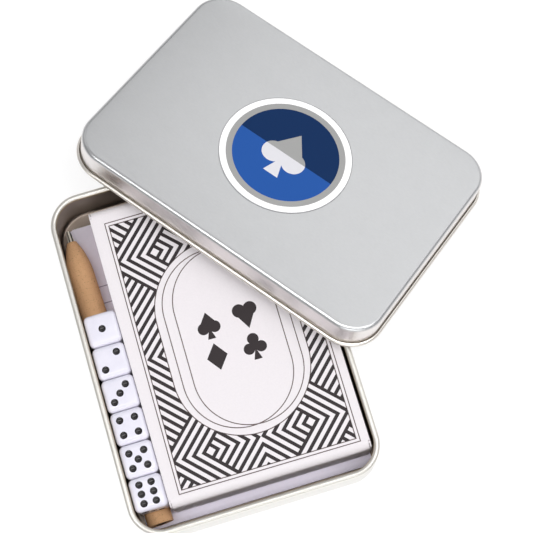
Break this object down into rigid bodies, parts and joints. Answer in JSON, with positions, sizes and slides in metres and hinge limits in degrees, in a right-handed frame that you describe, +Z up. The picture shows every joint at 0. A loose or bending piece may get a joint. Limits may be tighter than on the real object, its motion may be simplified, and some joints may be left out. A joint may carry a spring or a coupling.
{
  "type": "playing card and dice box",
  "caption": "Tinplate game box with its slip lid leaning open on it: a tuck box of playing cards, a row of dice lying on a pen, and a score pad under them.",
  "frame": {"origin": "middle of the tray's underside, on the table", "axes": "+X across the tray away from the dice, +Y along the tray towards the pen's point, +Z up"},
  "size_m": [0.1309, 0.1581, 0.0318],
  "materials": {
    "tinplate": "satin tinplate",
    "badge_paper": "printed gloss paper",
    "grey_board": "uncoated grey board",
    "pad_paper": "uncoated ruled paper",
    "pad_glue": "dried padding glue",
    "case_board": "coated board with a warm black print",
    "card_stock": "coated playing card stock",
    "die_plastic": "polished urea plastic with inked pips",
    "kraft_paper": "rolled kraft paper",
    "tip_metal": "nickel-plated brass",
    "refill_plastic": "translucent plastic tube",
    "plug_plastic": "moulded plastic"
  },
  "bodies": {
    "tray": {"tin_base": "tinplate"},
    "pad": {"pad_backing": "grey_board", "pad_leaves": "pad_paper", "pad_glue_strip": "pad_glue"},
    "card_case": {"card_case_sleeve": "case_board", "card_case_tuck_flap_front": "case_board", "card_case_tuck_flap_back": "case_board", "card_case_dust_flap_front_left": "case_board", "card_case_dust_flap_front_right": "case_board", "card_case_dust_flap_back_left": "case_board", "card_case_dust_flap_back_right": "case_board", "cards_clubs": "card_stock", "cards_diamonds": "card_stock", "cards_hearts": "card_stock", "cards_spades": "card_stock", "cards_jokers": "card_stock"},
    "lid": {"tin_lid": "tinplate", "lid_badge": "badge_paper"},
    "pen": {"pen_barrel": "kraft_paper", "pen_tip": "tip_metal", "pen_point": "tip_metal", "pen_refill": "refill_plastic", "pen_end_plug": "plug_plastic"},
    "die_one": {"die_one": "die_plastic"},
    "die_two": {"die_two": "die_plastic"},
    "die_three": {"die_three": "die_plastic"},
    "die_four": {"die_four": "die_plastic"},
    "die_five": {"die_five": "die_plastic"},
    "die_six": {"die_six": "die_plastic"}
  },
  "joints": [
    {"name": "pad_lift", "type": "slide", "parent": "tray", "child": "pad", "axis": [0, 0, 1], "range_m": [0, 0.004]},
    {"name": "card_case_lift", "type": "slide", "parent": "pad", "child": "card_case", "axis": [0, 0, 1], "range_m": [0, 0.045]},
    {"name": "lid_lift", "type": "slide", "parent": "card_case", "child": "lid", "axis": [0, 0, 1], "range_m": [0, 0.06]},
    {"name": "pen_lift", "type": "slide", "parent": "pad", "child": "pen", "axis": [0, 0, 1], "range_m": [0, 0.005]},
    {"name": "die_one_lift", "type": "slide", "parent": "pen", "child": "die_one", "axis": [0, 0, 1], "range_m": [0, 0.03]},
    {"name": "die_two_lift", "type": "slide", "parent": "pen", "child": "die_two", "axis": [0, 0, 1], "range_m": [0, 0.03]},
    {"name": "die_three_lift", "type": "slide", "parent": "pen", "child": "die_three", "axis": [0, 0, 1], "range_m": [0, 0.03]},
    {"name": "die_four_lift", "type": "slide", "parent": "pen", "child": "die_four", "axis": [0, 0, 1], "range_m": [0, 0.03]},
    {"name": "die_five_lift", "type": "slide", "parent": "pen", "child": "die_five", "axis": [0, 0, 1], "range_m": [0, 0.03]},
    {"name": "die_six_lift", "type": "slide", "parent": "pen", "child": "die_six", "axis": [0, 0, 1], "range_m": [0, 0.03]}
  ]
}
